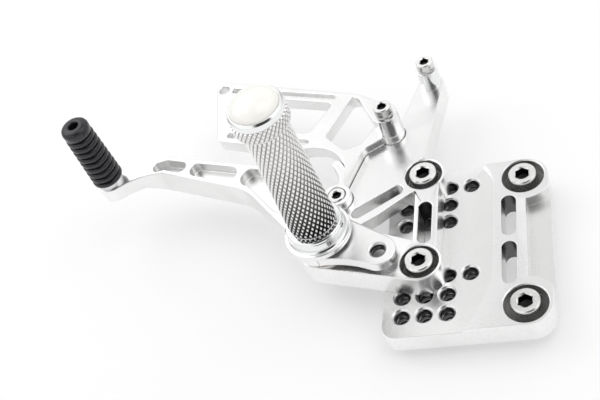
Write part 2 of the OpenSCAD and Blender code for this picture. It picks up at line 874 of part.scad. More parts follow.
// Turned barrel: base ring, tapered grip, knurled flange and polished rim
module footpeg_barrel() {
    ring_r = collar_neck_r + 0.2;
    rim_r = flange_r - 0.5;
    neck = 0.6;
    l0 = base_ring_t;
    l1 = flange_base - barrel_base;
    l2 = rim_base - barrel_base;
    l3 = barrel_top - barrel_base;
    color("#bfc0c1")
    translate([pivot[0], pivot[1], barrel_base])
    rotate_extrude()
        polygon([
            [tapped_r(M10), 0],
            [ring_r - 0.4, 0],
            [ring_r, 0.4],
            [ring_r, l0 - 0.4],
            [barrel_base_r - neck, l0],
            [barrel_base_r - neck, l0 + 0.8],
            [barrel_base_r, l0 + 0.8 + neck],
            [barrel_tip_r, l1 - 1.2],
            [flange_r - 1, l1],
            [flange_r, l1 + 1],
            [flange_r, l2 - 0.4],
            [rim_r, l2],
            [rim_r, l3 - 1],
            [rim_r - 1, l3],
            [cap_r + 0.05, l3],
            [cap_r + 0.05, l3 - 1.5],
            [barrel_bore_r, l3 - 1.5],
            [barrel_bore_r, barrel_bore_base],
            [tapped_r(M10), tapped_depth + 2],
            [tapped_r(M10), 0]
        ]);
}

// Domed cap with a spigot in the end of the barrel
module footpeg_cap() {
    seat = barrel_top - 1.5;
    spigot_l = 8;
    spigot_r = barrel_bore_r - press_play;
    color("#efece0")
    translate([pivot[0], pivot[1], seat])
    rotate_extrude()
        polygon(concat(
            [[0, -spigot_l], [spigot_r, -spigot_l], [spigot_r, 0], [cap_r, 0]],
            [for (a = [0 : 10 : 90]) [cap_r * cos(a), 1.5 + dome_h * sin(a)]]
        ));
}

adapter_plate();
frame_bolts();
main_bracket();
bracket_bolts();
support_plate();
support_plate_screw();
lower_guard_spacer();
lower_guard_screw();
upper_guard_spacer();
upper_guard_screw();
pivot_bolt();
pivot_bolt_washer();
pivot_sleeve();
inner_bush();
outer_bush();
shift_lever();
toe_pin();
toe_pin_screw();
toe_rubber();
peg_collar();
footpeg_barrel();
footpeg_cap();
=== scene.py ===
"""Looks of a left rear set: drilled adapter plate, bracket, shift lever and footpeg.

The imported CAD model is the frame. Each sub-assembly below is a class that builds the meshes which
show, gives them their finish and hands them to the frame. Sizes are in millimetres until a mesh
is made, and in metres after that.
"""

import logging
import math
from dataclasses import dataclass
from enum import Enum
from functools import partial
from typing import Any, Iterable, Optional, Sequence

import bmesh
import bpy
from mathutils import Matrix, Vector


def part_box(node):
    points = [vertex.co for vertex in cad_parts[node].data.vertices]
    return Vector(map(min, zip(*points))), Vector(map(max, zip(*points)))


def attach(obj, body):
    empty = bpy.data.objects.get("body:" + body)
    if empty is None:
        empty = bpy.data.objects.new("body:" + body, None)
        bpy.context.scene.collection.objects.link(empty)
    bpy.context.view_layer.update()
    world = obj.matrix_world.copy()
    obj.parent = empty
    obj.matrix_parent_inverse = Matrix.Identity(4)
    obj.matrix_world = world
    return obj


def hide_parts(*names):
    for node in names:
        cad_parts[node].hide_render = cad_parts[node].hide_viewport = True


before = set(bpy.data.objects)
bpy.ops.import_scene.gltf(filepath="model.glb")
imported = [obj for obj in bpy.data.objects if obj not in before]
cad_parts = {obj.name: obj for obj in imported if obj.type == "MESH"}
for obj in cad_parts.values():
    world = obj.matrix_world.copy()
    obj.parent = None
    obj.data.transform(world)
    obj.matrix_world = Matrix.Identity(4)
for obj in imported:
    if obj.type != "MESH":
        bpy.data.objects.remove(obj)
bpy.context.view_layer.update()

LOG = logging.getLogger("rear_set")
MM = 0.001
# Names of the mesh attributes that trees write or read
KNURL_HEIGHT = "knurl_height"
RECESS_MARK = "recess"
ORIGIN = (0.0, 0.0, 0.0)
WHITE = (1.0, 1.0, 1.0, 1.0)

Colour = tuple[float, float, float]
Place = tuple[float, float, float]
Ring = list[Vector]
Profile = Sequence[tuple[float, float]]


class Body(Enum):
    """The CAD bodies that pieces ride on."""

    MOUNT = "mount_body"
    LEVER = "lever_body"


class Slot(Enum):
    """The record's material slots, one named for each piece."""

    PLATE = "plate_aluminium"
    BRACKET = "bracket_aluminium"
    LEVER = "lever_aluminium"
    KNURLED = "knurled_aluminium"
    POLISHED = "polished_aluminium"
    SCREW = "screw_steel"
    RUBBER = "black_rubber"
    PLASTIC = "cream_plastic"


# Node trees

SHADER_TREE = "ShaderNodeTree"
GEOMETRY_TREE = "GeometryNodeTree"
FLOAT = "NodeSocketFloat"
GEOMETRY = "NodeSocketGeometry"
MATERIAL = "NodeSocketMaterial"
SOCKET_TYPES = {float: FLOAT, int: "NodeSocketInt", tuple: "NodeSocketVector"}


class TreeMaker:
    """Adds nodes and links to one node tree, so that a tree reads as a list of steps."""

    def __init__(self, tree: bpy.types.NodeTree) -> None:
        """Starts on a tree.

        Args:
            tree: The node tree to fill.
        """
        self.tree = tree
        self.add = partial(self.math, "ADD")
        self.subtract = partial(self.math, "SUBTRACT")
        self.multiply = partial(self.math, "MULTIPLY")
        self.smaller = partial(self.math, "MINIMUM")

    @classmethod
    def group(cls, name: str, kind: str, inputs: dict[str, Any], output: str, output_type: str) -> "TreeMaker":
        """Makes an empty node group with one output.

        Args:
            name: The group's name.
            kind: The tree type, for shaders or geometry.
            inputs: Each input's name, with its default value or, where it has none, its socket type.
            output: The output's name.
            output_type: The output's socket type.

        Returns:
            A maker for the new group.
        """
        tree = bpy.data.node_groups.new(name, kind)
        for label, default in inputs.items():
            bare = isinstance(default, str)
            socket_type = default if bare else SOCKET_TYPES[type(default)]
            made = tree.interface.new_socket(label, in_out="INPUT", socket_type=socket_type)
            if not bare:
                made.default_value = default
        tree.interface.new_socket(output, in_out="OUTPUT", socket_type=output_type)
        maker = cls(tree)
        maker.source = maker.node("NodeGroupInput")
        maker.sink = maker.node("NodeGroupOutput")
        return maker

    def close(self, result: bpy.types.NodeSocket) -> bpy.types.NodeTree:
        """Ends a group with the socket that it gives out, and returns its tree."""
        self.feed(result, self.sink.inputs[0])
        return self.tree

    def node(self, kind: str, values: Optional[dict] = None, **properties: Any) -> bpy.types.Node:
        """Adds a node.

        Args:
            kind: The node's type name.
            values: Input socket name or number to a constant or to an output socket.
            **properties: Properties of the node itself.

        Returns:
            The new node.
        """
        made = self.tree.nodes.new(kind)
        for key, value in properties.items():
            setattr(made, key, value)
        self.fill(made, values or {})
        return made

    def fill(self, node: bpy.types.Node, values: dict) -> None:
        """Feeds several inputs of a node, each by its socket's name or number."""
        for key, value in values.items():
            self.feed(value, node.inputs[key])

    def feed(self, value: Any, socket: bpy.types.NodeSocket) -> None:
        """Links an output socket to an input, or sets the input to a constant.

        Args:
            value: An output socket or a constant.
            socket: The input that takes it.
        """
        if isinstance(value, bpy.types.NodeSocket):
            self.tree.links.new(value, socket)
        else:
            socket.default_value = value

    def effect(self, group: bpy.types.NodeTree, **inputs: Any) -> bpy.types.NodeSocket:
        """Adds a shader group, fed by input name with constants or sockets, and returns its output."""
        return self.node("ShaderNodeGroup", inputs, node_tree=group).outputs[0]

    def math(self, operation: str, *values: Any) -> bpy.types.NodeSocket:
        """Adds a math node on constants or sockets and returns its result."""
        return self.node("ShaderNodeMath", dict(enumerate(values)), operation=operation).outputs[0]

    def mix(self, factor: Any, *colours: Any) -> bpy.types.NodeSocket:
        """Adds a colour mix.

        Args:
            factor: Share of the second colour.
            *colours: The two colours or sockets.

        Returns:
            The mixed colour's socket.
        """
        made = self.node("ShaderNodeMix", data_type="RGBA")
        self.feed(factor, made.inputs["Factor"])
        for colour, socket in zip(colours, [s for s in made.inputs if s.type == "RGBA"]):
            self.feed((*colour, 1.0) if isinstance(colour, tuple) else colour, socket)
        return next(s for s in made.outputs if s.type == "RGBA")

    def remap(self, value: Any, low: Any, high: Any, out_low: Any, out_high: Any) -> bpy.types.NodeSocket:
        """Maps the range low to high onto out_low to out_high, clamped, and returns the result."""
        return self.node("ShaderNodeMapRange", {0: value, 1: low, 2: high, 3: out_low, 4: out_high}).outputs[0]


def grain_group() -> bpy.types.NodeTree:
    """Builds the fine surface grain of blasted or ground metal.

    Returns:
        A shader group that gives the grain's height.
    """
    made = TreeMaker.group("fine_grain", SHADER_TREE, {"Vector": ORIGIN, "Scale": 2600.0}, "Height", FLOAT)
    give = made.source.outputs
    noise = made.node("ShaderNodeTexNoise", {"Vector": give["Vector"], "Scale": give["Scale"], "Detail": 3.0})
    return made.close(noise.outputs[0])


def marks_group() -> bpy.types.NodeTree:
    """Builds soft cloudy handling marks.

    Returns:
        A shader group that gives a mask from 0, clean, to 1, marked.
    """
    made = TreeMaker.group("handling_marks", SHADER_TREE, {"Vector": ORIGIN, "Scale": 38.0}, "Mask", FLOAT)
    give = made.source.outputs
    cloud = made.node("ShaderNodeTexNoise", {"Vector": give["Vector"], "Scale": give["Scale"], "Detail": 5.0,
                                             "Distortion": 0.6})
    return made.close(made.remap(cloud.outputs[0], 0.42, 0.68, 0.0, 1.0))


def rings_group(per_metre: float = 3000.0, lead: float = 0.7) -> bpy.types.NodeTree:
    """Builds the fine rings that a lathe tool leaves round an axis.

    Args:
        per_metre: Density of the rings.
        lead: Share of the height that counts with the radius, so that walls have rings too.

    Returns:
        A shader group that gives the rings' height.
    """
    made = TreeMaker.group("turning_rings", SHADER_TREE, {"Vector": ORIGIN, "Centre": ORIGIN}, "Height", FLOAT)
    give = made.source.outputs
    moved = made.node("ShaderNodeVectorMath", {0: give["Vector"], 1: give["Centre"]}, operation="SUBTRACT")
    x, y, z = made.node("ShaderNodeSeparateXYZ", {0: moved.outputs[0]}).outputs
    radius = made.math("SQRT", made.add(made.multiply(x, x), made.multiply(y, y)))
    along = made.add(radius, made.multiply(z, lead))
    turned = made.node("ShaderNodeTexNoise", {"W": along, "Scale": per_metre, "Detail": 2.0},
                       noise_dimensions="1D")
    return made.close(turned.outputs[0])


def edge_highlight_group(flat: float = 0.51, spread: float = 0.05) -> bpy.types.NodeTree:
    """Builds the mask of a painted highlight along broken edges.

    Args:
        flat: Pointiness of a flat face.
        spread: Rise of pointiness over which the painted highlight comes in.

    Returns:
        A shader group that gives a mask from 0, flat, to 1, edge.
    """
    made = TreeMaker.group("edge_painted_highlight", SHADER_TREE, {}, "Mask", FLOAT)
    geometry = made.node("ShaderNodeNewGeometry")
    return made.close(made.remap(geometry.outputs["Pointiness"], flat, flat + spread, 0.0, 1.0))


GRAIN = grain_group()
MARKS = marks_group()
RINGS = rings_group()
EDGE_HIGHLIGHT = edge_highlight_group()


# Finishes


def start_material(name: str) -> tuple[bpy.types.Material, TreeMaker, bpy.types.Node]:
    """Makes a material with an untouched Principled shader.

    Args:
        name: The material's name.

    Returns:
        The material, a maker for its tree and the shader node.
    """
    material = bpy.data.materials.new(name)
    material.use_nodes = True
    material.node_tree.nodes.clear()
    made = TreeMaker(material.node_tree)
    shader = made.node("ShaderNodeBsdfPrincipled")
    made.node("ShaderNodeOutputMaterial", {"Surface": shader.outputs[0]})
    return material, made, shader


@dataclass(frozen=True)
class MetalFinish:
    """A bare or plated metal surface.

    Attributes:
        name: The material's name.
        colour: Clean colour.
        dull: Colour where it is marked.
        roughness: Roughness where clean.
        marked_roughness: Roughness where marked.
        bump: Grain height in metres.
        turned_about: Axis of turning rings in metres, or None for a milled piece.
        highlight_gain: How much brighter the painted highlight on an edge is than the clean colour.
        highlight_limit: Limit of the painted highlight's colour on an edge.
    """

    name: str
    colour: Colour
    dull: Colour
    roughness: float
    marked_roughness: float
    bump: float = 0.000004
    turned_about: Optional[Place] = None
    highlight_gain: float = 1.12
    highlight_limit: float = 0.97

    def build(self) -> bpy.types.Material:
        """Makes the material."""
        material, made, shader = start_material(self.name)
        place = made.node("ShaderNodeTexCoord").outputs["Object"]
        marks = made.effect(MARKS, Vector=place)
        if self.turned_about is None:
            height = made.effect(GRAIN, Vector=place)
        else:
            height = made.effect(RINGS, Vector=place, Centre=self.turned_about)
        # Painted highlight: broken edges get a brightened colour
        bright = tuple(min(self.highlight_limit, c * self.highlight_gain) for c in self.colour)
        rough = made.remap(marks, 0.0, 1.0, self.roughness, self.marked_roughness)
        bump = made.node("ShaderNodeBump", {"Height": height, "Distance": self.bump, "Strength": 1.0})
        made.fill(shader, {
            "Metallic": 1.0,
            "Base Color": made.mix(made.effect(EDGE_HIGHLIGHT), made.mix(marks, self.colour, self.dull), bright),
            "Roughness": made.add(rough, made.remap(height, 0.3, 0.7, -0.03, 0.03)),
            "Normal": bump.outputs[0],
        })
        return material


@dataclass(frozen=True)
class KnurlFinish:
    """A cut knurl: bright flats over grooves with painted shade.

    Attributes:
        name: The material's name.
        flat: Colour of the flats.
        groove: Painted shade at the bottom of the grooves near the pivot.
        clean: Painted shade at the bottom of the grooves near the cap, lighter.
        roughness: Roughness of the flats.
        groove_roughness: Roughness at the bottom of the grooves.
        full_shade_to: Height in metres up to which the grooves' painted shade is darkest.
        light_shade_from: Height in metres above which it is lightest.
        shaded_share: Share of a groove's depth that has painted shade near the pivot, and near the cap.
        fade: Share of the depth over which the painted shade goes over into the flat's colour.
    """

    name: str
    flat: Colour
    groove: Colour
    clean: Colour
    roughness: float
    groove_roughness: float
    full_shade_to: float = 0.045
    light_shade_from: float = 0.088
    shaded_share: tuple[float, float] = (0.50, 0.12)
    fade: float = 0.42

    def build(self) -> bpy.types.Material:
        """Makes the material."""
        material, made, shader = start_material(self.name)
        height = made.node("ShaderNodeAttribute", attribute_name=KNURL_HEIGHT).outputs["Fac"]
        place = made.node("ShaderNodeSeparateXYZ", {0: made.node("ShaderNodeTexCoord").outputs["Object"]})
        # Painted shade in the grooves, darker towards the pivot
        toward_cap = made.remap(place.outputs[2], self.full_shade_to, self.light_shade_from, 0.0, 1.0)
        foot = made.remap(toward_cap, 0.0, 1.0, *self.shaded_share)
        open_share = made.remap(height, foot, made.add(foot, self.fade), 0.0, 1.0)
        made.fill(shader, {
            "Metallic": 1.0,
            "Base Color": made.mix(open_share, made.mix(toward_cap, self.groove, self.clean), self.flat),
            "Roughness": made.remap(height, 0.0, 1.0, self.groove_roughness, self.roughness),
        })
        return material


@dataclass(frozen=True)
class RubberFinish:
    """Moulded black rubber with a dry bloom in cloudy marks and a painted highlight along its edges.

    Attributes:
        name: The material's name.
        colour: Clean colour.
        bloom_and_sheen: Colour of the bloom in the marks and of the painted highlight along edges.
        roughness: Roughness where clean, and where marked.
        grain: Grain frequency per metre.
        bump: Grain height in metres.
        marks: Frequency of the marks per metre.
        shares: Share of the painted highlight along edges, and of the bloom in marks.
    """

    name: str
    colour: Colour
    bloom_and_sheen: Colour
    roughness: tuple[float, float]
    grain: float = 1500.0
    bump: float = 0.000012
    marks: float = 140.0
    shares: tuple[float, float] = (0.5, 0.3)

    def build(self) -> bpy.types.Material:
        """Makes the material."""
        material, made, shader = start_material(self.name)
        place = made.node("ShaderNodeTexCoord").outputs["Object"]
        marks = made.effect(MARKS, Vector=place, Scale=self.marks)
        grain = made.effect(GRAIN, Vector=place, Scale=self.grain)
        # Edges get a painted highlight in this colour; the marks get real bloom
        masks = (made.effect(EDGE_HIGHLIGHT), marks)
        share = made.add(*(made.multiply(mask, part) for mask, part in zip(masks, self.shares)))
        made.fill(shader, {
            "Base Color": made.mix(share, self.colour, self.bloom_and_sheen),
            "Roughness": made.remap(marks, 0.0, 1.0, *self.roughness),
            "Normal": made.node("ShaderNodeBump", {"Height": grain, "Distance": self.bump}).outputs[0],
        })
        return material


@dataclass(frozen=True)
class PlasticFinish:
    """Smooth glossy moulded plastic with faint flow marks.

    Attributes:
        name: The material's name.
        colour: Clean colour.
        shade: Colour of the flow marks at full strength.
        roughness: Roughness where clean, and where marked.
        marks: Frequency of the flow marks per metre.
        strength: Their strength.
        coat: Weight and roughness of the gloss on top.
    """

    name: str
    colour: Colour
    shade: Colour
    roughness: tuple[float, float]
    marks: float = 55.0
    strength: float = 0.35
    coat: tuple[float, float] = (0.4, 0.08)

    def build(self) -> bpy.types.Material:
        """Makes the material."""
        material, made, shader = start_material(self.name)
        place = made.node("ShaderNodeTexCoord").outputs["Object"]
        marks = made.effect(MARKS, Vector=place, Scale=self.marks)
        made.fill(shader, {
            "Base Color": made.mix(made.multiply(marks, self.strength), self.colour, self.shade),
            "Roughness": made.remap(marks, 0.0, 1.0, *self.roughness),
            "Coat Weight": self.coat[0],
            "Coat Roughness": self.coat[1],
        })
        return material


def axis_of(node: str) -> Place:
    """Finds the axis point, in metres at height zero, of a round CAD node that stands along Z."""
    low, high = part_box(node)
    return ((low.x + high.x) / 2, (low.y + high.y) / 2, 0.0)


def extent_of(node: str) -> tuple[float, float, float]:
    """Measures an upright round CAD node: lower end, upper end and radius in millimetres."""
    low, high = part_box(node)
    return low.z / MM, high.z / MM, (high.x - low.x) / 2 / MM


PIVOT_AXIS = axis_of("pivot_sleeve")
TOE_AXIS = axis_of("toe_rubber")


class Finish(Enum):
    """Every finish on the rear set."""

    PLATE = MetalFinish("satin_plate", (0.88, 0.88, 0.875), (0.80, 0.80, 0.795), 0.27, 0.34, 0.000003)
    BRACKET = MetalFinish("satin_bracket", (0.90, 0.90, 0.895), (0.82, 0.82, 0.815), 0.25, 0.32, 0.000003)
    LEVER = MetalFinish("satin_lever", (0.89, 0.89, 0.885), (0.82, 0.82, 0.815), 0.30, 0.36, 0.000003)
    # Painted shade: the next four finishes darken hole walls, screw seats, threads and screw sockets
    BORE_SHADE = MetalFinish("bore_painted_shade", (0.09, 0.09, 0.09), (0.05, 0.05, 0.05), 0.35, 0.50)
    SEAT_SHADE = MetalFinish("seat_painted_shade", (0.12, 0.118, 0.116), (0.065, 0.065, 0.063), 0.30, 0.42)
    THREAD = MetalFinish("thread_painted_shade", (0.17, 0.17, 0.17), (0.10, 0.10, 0.10), 0.25, 0.35)
    SCREW = MetalFinish("plated_screw", (0.80, 0.80, 0.79), (0.68, 0.68, 0.67), 0.20, 0.30, 0.000002)
    SOCKET_SHADE = MetalFinish("socket_painted_shade", (0.045, 0.045, 0.048), (0.03, 0.03, 0.03), 0.40, 0.50)
    # The knurl's grooves carry painted shade
    KNURL = KnurlFinish("knurled_grip", (0.95, 0.945, 0.94), (0.01, 0.01, 0.01), (0.33, 0.32, 0.31), 0.22, 0.47)
    TURNED = MetalFinish("turned_collar", (0.88, 0.885, 0.89), (0.80, 0.805, 0.81), 0.12, 0.20, 0.0000015,
                         PIVOT_AXIS)
    POST = MetalFinish("polished_post", (0.86, 0.865, 0.87), (0.78, 0.78, 0.785), 0.10, 0.18, 0.0000015)
    GROUND = MetalFinish("ground_steel", (0.62, 0.62, 0.63), (0.52, 0.52, 0.52), 0.20, 0.30,
                         turned_about=TOE_AXIS)
    BRONZE = MetalFinish("oiled_bronze", (0.26, 0.17, 0.08), (0.12, 0.08, 0.04), 0.34, 0.46)
    RUBBER = RubberFinish("ribbed_rubber", (0.005, 0.005, 0.007), (0.022, 0.022, 0.03), (0.20, 0.34))
    CREAM = PlasticFinish("cream_cap", (0.92, 0.91, 0.87), (0.88, 0.865, 0.79), (0.16, 0.24))


MATERIALS: dict[Finish, bpy.types.Material] = {finish: finish.value.build() for finish in Finish}


# Mesh making


def add_object(name: str, data: Any) -> bpy.types.Object:
    """Links a new object at the origin.

    Args:
        name: The object's name.
        data: Its mesh, in place, or its lamp or camera.

    Returns:
        The object.
    """
    piece = bpy.data.objects.new(name, data)
    bpy.context.scene.collection.objects.link(piece)
    return piece


def shade(mesh: bpy.types.Mesh, angle: float = 32.0) -> None:
    """Shades a mesh smooth, apart from edges sharper than an angle in degrees."""
    mesh.polygons.foreach_set("use_smooth", [True] * len(mesh.polygons))
    mesh.set_sharp_from_angle(angle=math.radians(angle))


def make_plain(piece: bpy.types.Object) -> None:
    """Turns a piece's modifiers into its mesh and removes them.

    Args:
        piece: The piece.
    """
    graph = bpy.context.evaluated_depsgraph_get()
    mesh = bpy.data.meshes.new_from_object(
        piece.evaluated_get(graph), preserve_all_data_layers=True, depsgraph=graph
    )
    piece.modifiers.clear()
    piece.data = mesh


def hand_over(piece: bpy.types.Object, body: Body, slot: Slot, *nodes: str) -> None:
    """Gives a finished piece to the frame.

    Args:
        piece: The piece.
        body: The body that it rides on.
        slot: The material slot that it follows; not used.
        *nodes: The CAD nodes that it stands for.
    """
    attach(piece, body.value)
    if nodes:
        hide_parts(*nodes)
    LOG.info("%s: %d faces, rides on %s", piece.name, len(piece.data.polygons), body.value)


def dress_node(node: str, finish: Finish) -> None:
    """Gives a CAD node that stays as it is a better material.

    Args:
        node: The CAD node's name.
        finish: Its finish.
    """
    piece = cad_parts[node]
    if not piece.material_slots:
        piece.data.materials.append(MATERIALS[finish])
    for material_slot in piece.material_slots:
        material_slot.material = MATERIALS[finish]
    LOG.info("%s: CAD node dressed as %s", node, finish.value.name)


def fillet_profile(corners: Profile, radius: float, steps: int = 4) -> list[tuple[float, float]]:
    """Rounds the inner corners of a turned profile.

    Args:
        corners: Radius and height of each corner, in order.
        radius: Largest rounding radius; a short side takes a smaller one.
        steps: Points along each rounding, less one.

    Returns:
        The rounded profile.
    """
    straight, most = math.radians(85), 0.45
    made = [corners[0]]
    for before, here, after in zip(corners, corners[1:], corners[2:]):
        at, back, on = Vector(here), Vector(before) - Vector(here), Vector(after) - Vector(here)
        half = back.angle(on) / 2
        if half > straight:
            made.append(here)
            continue
        cut = min(radius / math.tan(half), back.length * most, on.length * most)
        start, end = at + back.normalized() * cut, at + on.normalized() * cut
        for step in range(steps + 1):
            t = step / steps
            point = start * (1 - t) ** 2 + at * (2 * t * (1 - t)) + end * t ** 2
            made.append((point.x, point.y))
    made.append(corners[-1])
    return made


def loft(rings: Sequence[Ring], closed: bool = True) -> bmesh.types.BMesh:
    """Joins rings of equal point count by quads.

    Args:
        rings: The rings, in metres.
        closed: Whether the first and the last ring get a fan to their centre.

    Returns:
        The mesh under construction.
    """
    mesh = bmesh.new()
    made = [[mesh.verts.new(point) for point in ring] for ring in rings]
    count = len(rings[0])
    for lower, upper in zip(made, made[1:]):
        for i in range(count):
            j = (i + 1) % count
            mesh.faces.new((lower[i], lower[j], upper[j], upper[i]))
    for ring, forward in ((made[0], False), (made[-1], True)) if closed else ():
        centre = mesh.verts.new(sum((v.co for v in ring), Vector()) / count)
        for i in range(count):
            j = (i + 1) % count
            mesh.faces.new((ring[i], ring[j], centre) if forward else (ring[j], ring[i], centre))
    return mesh


def on_circle(centre: Sequence[float], reach: float, angle: float, height: float) -> Vector:
    """Finds a point round a vertical axis, in metres; only the height is given in millimetres."""
    return Vector((centre[0] + reach * math.cos(angle), centre[1] + reach * math.sin(angle), height * MM))


def round_ring(centre: Sequence[float], radius: float, height: float, count: int) -> Ring:
    """Makes a level ring round an axis point in metres, with radius and height in millimetres."""
    turn = 2 * math.pi / count
    return [on_circle(centre, radius * MM, turn * i, height) for i in range(count)]


def turned_piece(name: str, centre: Sequence[float], profile: Profile, finish: Finish, count: int = 96,
                 hollow: bool = False) -> bpy.types.Object:
    """Revolves a profile about a vertical axis.

    Args:
        name: The piece's name.
        centre: Axis point in metres.
        profile: Radius and height of each point, from the bottom up the outside.
        finish: The piece's finish.
        count: Points round the axis.
        hollow: Whether the profile runs back down a bore and closes on itself.

    Returns:
        The object.
    """
    rings = [round_ring(centre, max(radius, 0.01), height, count) for radius, height in profile]
    if hollow:
        rings.append(rings[0])
    mesh = loft(rings, not hollow)
    if hollow:
        bmesh.ops.remove_doubles(mesh, verts=mesh.verts, dist=1e-7)
    bmesh.ops.recalc_face_normals(mesh, faces=mesh.faces)
    data = bpy.data.meshes.new(name)
    mesh.to_mesh(data)
    mesh.free()
    shade(data)
    data.materials.append(MATERIALS[finish])
    return add_object(name, data)


@dataclass(frozen=True)
class Bore:
    """A round hole, or the end of a slot, whose wall or floor gets a dark finish of its own: painted shade.

    Attributes:
        x: Axis in millimetres.
        y: Axis in millimetres.
        radius: Radius in millimetres.
        finish: The finish, a dark one that paints the shade in the hole.
        seat: Whether the floor has it, as painted shade round a screw head, instead of the wall.
    """

    x: float
    y: float
    radius: float
    finish: Finish = Finish.BORE_SHADE
    seat: bool = False

    def holds(self, point: Vector, normal: Vector, top: float) -> bool:
        """Tells whether a face belongs to the bore.

        Args:
            point: The face's centre in metres.
            normal: The face's normal.
            top: Height of the piece's top in metres.

        Returns:
            Whether the face has the bore's finish.
        """
        if self.seat:
            fits = normal.z > 0.9 and point.z < top - 2.0 * MM
        else:
            fits = abs(normal.z) < 0.3
        return fits and math.hypot(point.x / MM - self.x, point.y / MM - self.y) < self.radius + 0.08


def machined_copy(name: str, node: str, edge: float, finish: Finish,
                  bores: Iterable[Bore] = ()) -> bpy.types.Object:
    """Copies a CAD node's mesh, breaks its edges and gives its bores their own dark finish as painted shade.

    Args:
        name: The piece's name.
        node: The CAD node to copy.
        edge: Width of the broken edges in millimetres.
        finish: The finish of the outside.
        bores: The bores with their own dark finish of painted shade.

    Returns:
        The object.
    """
    mesh = bmesh.new()
    mesh.from_mesh(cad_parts[node].data)
    bmesh.ops.remove_doubles(mesh, verts=mesh.verts, dist=2e-6)
    holes = list(bores)
    top = max(vert.co.z for vert in mesh.verts)
    coats = list(dict.fromkeys([finish, *(hole.finish for hole in holes)]))
    for face in mesh.faces:
        centre = face.calc_center_median()
        inside = (hole.finish for hole in holes if hole.holds(centre, face.normal, top))
        face.material_index = coats.index(next(inside, finish))
    data = bpy.data.meshes.new(name)
    for coat in coats:
        data.materials.append(MATERIALS[coat])
    mesh.to_mesh(data)
    mesh.free()
    if "custom_normal" in data.attributes:
        data.attributes.remove(data.attributes["custom_normal"])
    piece = add_object(name, data)
    shade(data, 28.0)
    bevel = piece.modifiers.new("broken_edges", "BEVEL")
    bevel.width = edge * MM
    bevel.segments = 3
    bevel.limit_method = "ANGLE"
    bevel.angle_limit = math.radians(35)
    bevel.use_clamp_overlap = False
    bevel.loop_slide = False
    bevel.miter_outer = "MITER_ARC"
    weigh = piece.modifiers.new("flat_faces", "WEIGHTED_NORMAL")
    weigh.mode = "FACE_AREA_WITH_ANGLE"
    weigh.keep_sharp = True
    make_plain(piece)
    # The bevel pushes some vertices out where a wall is thin
    low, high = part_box(node)
    for vert in piece.data.vertices:
        vert.co = [min(max(vert.co[i], low[i]), high[i]) for i in range(3)]
    return piece


# Geometry node trees


def grow(piece: bpy.types.Object, tree: bpy.types.NodeTree, values: dict[str, Any]) -> None:
    """Runs a tree on a piece and keeps the result as its plain mesh.

    Args:
        piece: The piece.
        tree: The Geometry Nodes tree.
        values: Socket name to value.
    """
    modifier = piece.modifiers.new(tree.name, "NODES")
    modifier.node_group = tree
    for item in tree.interface.items_tree:
        if item.item_type == "SOCKET" and item.in_out == "INPUT" and item.name in values:
            modifier[item.identifier] = values[item.name]
    make_plain(piece)


def thread_tree() -> bpy.types.NodeTree:
    """Builds a tree that winds a thread inside the hole at each vertex.

    Returns:
        The tree.
    """
    made = TreeMaker.group(
        "wind_threads", GEOMETRY_TREE,
        {"Geometry": GEOMETRY, "Radius": 0.0034, "Height": 0.009, "Pitch": 0.00125, "Ridge": 0.0005,
         "Material": MATERIAL},
        "Geometry", GEOMETRY,
    )
    give = made.source.outputs
    turns = made.math("DIVIDE", give["Height"], give["Pitch"])
    spiral = made.node("GeometryNodeCurveSpiral", {"Resolution": 28, "Rotations": turns, "Height": give["Height"],
                                                   "Start Radius": give["Radius"], "End Radius": give["Radius"]})
    ridge = made.node("GeometryNodeCurvePrimitiveCircle", {"Resolution": 4, "Radius": give["Ridge"]})
    coil = made.node("GeometryNodeCurveToMesh", {"Curve": spiral.outputs[0], "Profile Curve": ridge.outputs[0],
                                                 "Fill Caps": True})
    placed = made.node("GeometryNodeInstanceOnPoints", {"Points": give["Geometry"], "Instance": coil.outputs[0]})
    real = made.node("GeometryNodeRealizeInstances", {"Geometry": placed.outputs[0]})
    flat = made.node("GeometryNodeSetShadeSmooth", {"Geometry": real.outputs[0], "Shade Smooth": False})
    dressed = made.node("GeometryNodeSetMaterial", {"Geometry": flat.outputs[0], "Material": give["Material"]})
    return made.close(dressed.outputs[0])


def row_tree() -> bpy.types.NodeTree:
    """Builds a tree that repeats a screw along a line and paints shade into its socket.

    Returns:
        The tree.
    """
    made = TreeMaker.group(
        "repeat_screw", GEOMETRY_TREE,
        {"Geometry": GEOMETRY, "Count": 1, "Step": ORIGIN, "Material": MATERIAL, "Socket Shade Material": MATERIAL},
        "Geometry", GEOMETRY,
    )
    give = made.source.outputs
    line = made.node("GeometryNodeMeshLine", {"Count": give["Count"], "Offset": give["Step"]})
    placed = made.node("GeometryNodeInstanceOnPoints", {"Points": line.outputs[0], "Instance": give["Geometry"]})
    real = made.node("GeometryNodeRealizeInstances", {"Geometry": placed.outputs[0]})
    dressed = made.node("GeometryNodeSetMaterial", {"Geometry": real.outputs[0], "Material": give["Material"]})
    # Painted shade: the socket's faces get a near-black material
    recess = made.node("GeometryNodeInputNamedAttribute", data_type="BOOLEAN")
    recess.inputs["Name"].default_value = RECESS_MARK
    dark = made.node("GeometryNodeSetMaterial", {
        "Geometry": dressed.outputs[0], "Selection": recess.outputs["Attribute"],
        "Material": give["Socket Shade Material"],
    })
    return made.close(dark.outputs[0])


